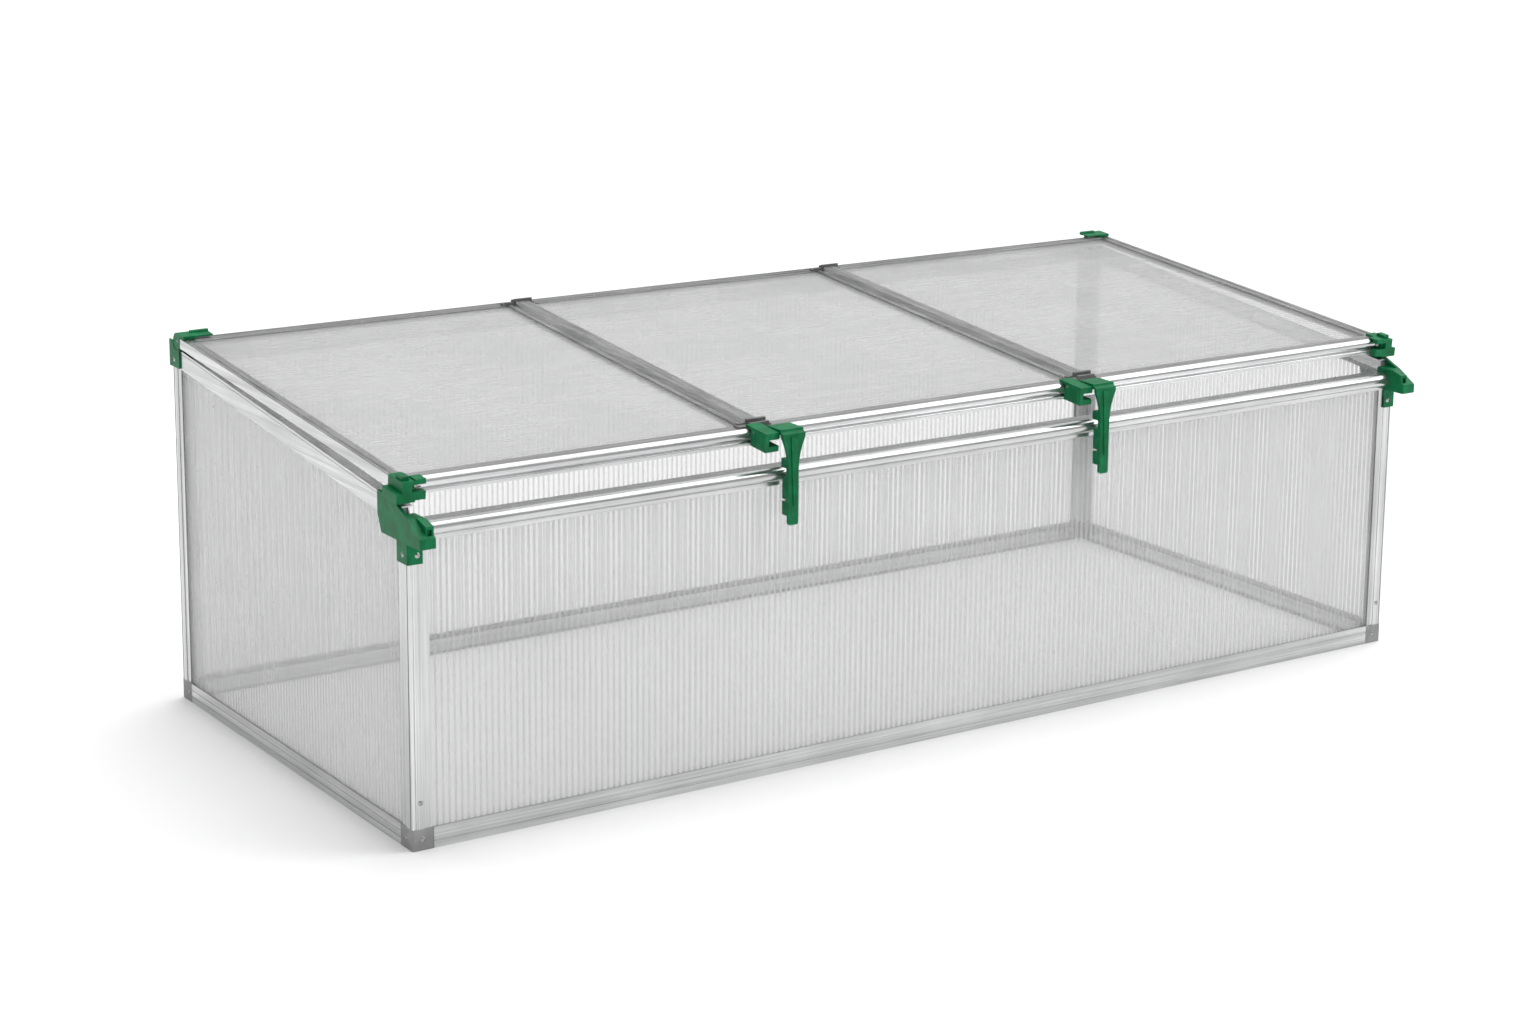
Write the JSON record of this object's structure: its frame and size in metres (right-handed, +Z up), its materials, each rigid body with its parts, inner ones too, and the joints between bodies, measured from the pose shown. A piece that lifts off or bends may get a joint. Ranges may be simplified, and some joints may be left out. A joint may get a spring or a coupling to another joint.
{
  "type": "cold frame",
  "caption": "Long open-bottomed growing frame of aluminium bars and clear twin-wall sheet, with a sloping hinged lid held by green corner fittings and two hanging notched stays.",
  "frame": {"origin": "on the ground, in the middle of the whole object's footprint", "axes": "X along the length to the right, Y from the low front to the high back, Z up"},
  "size_m": [1.518, 0.69, 0.488],
  "materials": {
    "bar_aluminium": "mill-finish extrusion",
    "clear_sheet": "clear twin-wall sheet with close parallel ribs",
    "green_plastic": "moulded, fine satin grain",
    "grey_plastic": "moulded, satin",
    "fixing_steel": "plated rivets, screws and pins"
  },
  "bodies": {
    "frame": {"bottom_bracket_front_left": "grey_plastic", "bottom_bracket_front_right": "grey_plastic", "bottom_bracket_rear_left": "grey_plastic", "bottom_bracket_rear_right": "grey_plastic", "bottom_rail_front": "bar_aluminium", "bottom_rail_left": "bar_aluminium", "bottom_rail_rear": "bar_aluminium", "bottom_rail_right": "bar_aluminium", "bracket_rivets": "fixing_steel", "fitting_rivets": "fixing_steel", "front_fitting_left": "green_plastic", "front_fitting_right": "green_plastic", "front_top_bar": "bar_aluminium", "hinge_pins": "fixing_steel", "post_front_left": "bar_aluminium", "post_front_right": "bar_aluminium", "post_rear_left": "bar_aluminium", "post_rear_right": "bar_aluminium", "post_rivets": "fixing_steel", "rear_fitting_left": "green_plastic", "rear_fitting_right": "green_plastic", "rear_top_bar": "bar_aluminium", "side_top_rail_left": "bar_aluminium", "side_top_rail_right": "bar_aluminium", "wall_sheet_front": "clear_sheet", "wall_sheet_left": "clear_sheet", "wall_sheet_rear": "clear_sheet", "wall_sheet_right": "clear_sheet"},
    "lid": {"lid_cross_bar_left": "bar_aluminium", "lid_cross_bar_right": "bar_aluminium", "lid_front_bar": "bar_aluminium", "lid_front_cap_left": "green_plastic", "lid_front_cap_right": "green_plastic", "lid_hinge_cap_left": "green_plastic", "lid_hinge_cap_right": "green_plastic", "lid_pane_left": "clear_sheet", "lid_pane_middle": "clear_sheet", "lid_pane_right": "clear_sheet", "lid_rear_bar": "bar_aluminium", "lid_screws": "fixing_steel", "lid_side_bar_left": "bar_aluminium", "lid_side_bar_right": "bar_aluminium", "pane_clip_front_left": "grey_plastic", "pane_clip_front_right": "grey_plastic", "pane_clip_rear_left": "grey_plastic", "pane_clip_rear_right": "grey_plastic", "stay_bracket_left": "green_plastic", "stay_bracket_right": "green_plastic", "stay_pins": "fixing_steel"},
    "stay_left": {"stay_left": "green_plastic"},
    "stay_right": {"stay_right": "green_plastic"}
  },
  "joints": [
    {"name": "lid_hinge", "type": "hinge", "parent": "frame", "child": "lid", "pos_m": [0, 0.322, 0.4745], "axis": [-1, 0, 0], "range_deg": [0, 100]},
    {"name": "stay_left_pivot", "type": "hinge", "parent": "lid", "child": "stay_left", "pos_m": [-0.254, -0.29891, 0.42561], "axis": [-1, 0, 0], "range_deg": [0, 100]},
    {"name": "stay_right_pivot", "type": "hinge", "parent": "lid", "child": "stay_right", "pos_m": [0.221, -0.29891, 0.42561], "axis": [-1, 0, 0], "range_deg": [0, 100]}
  ]
}
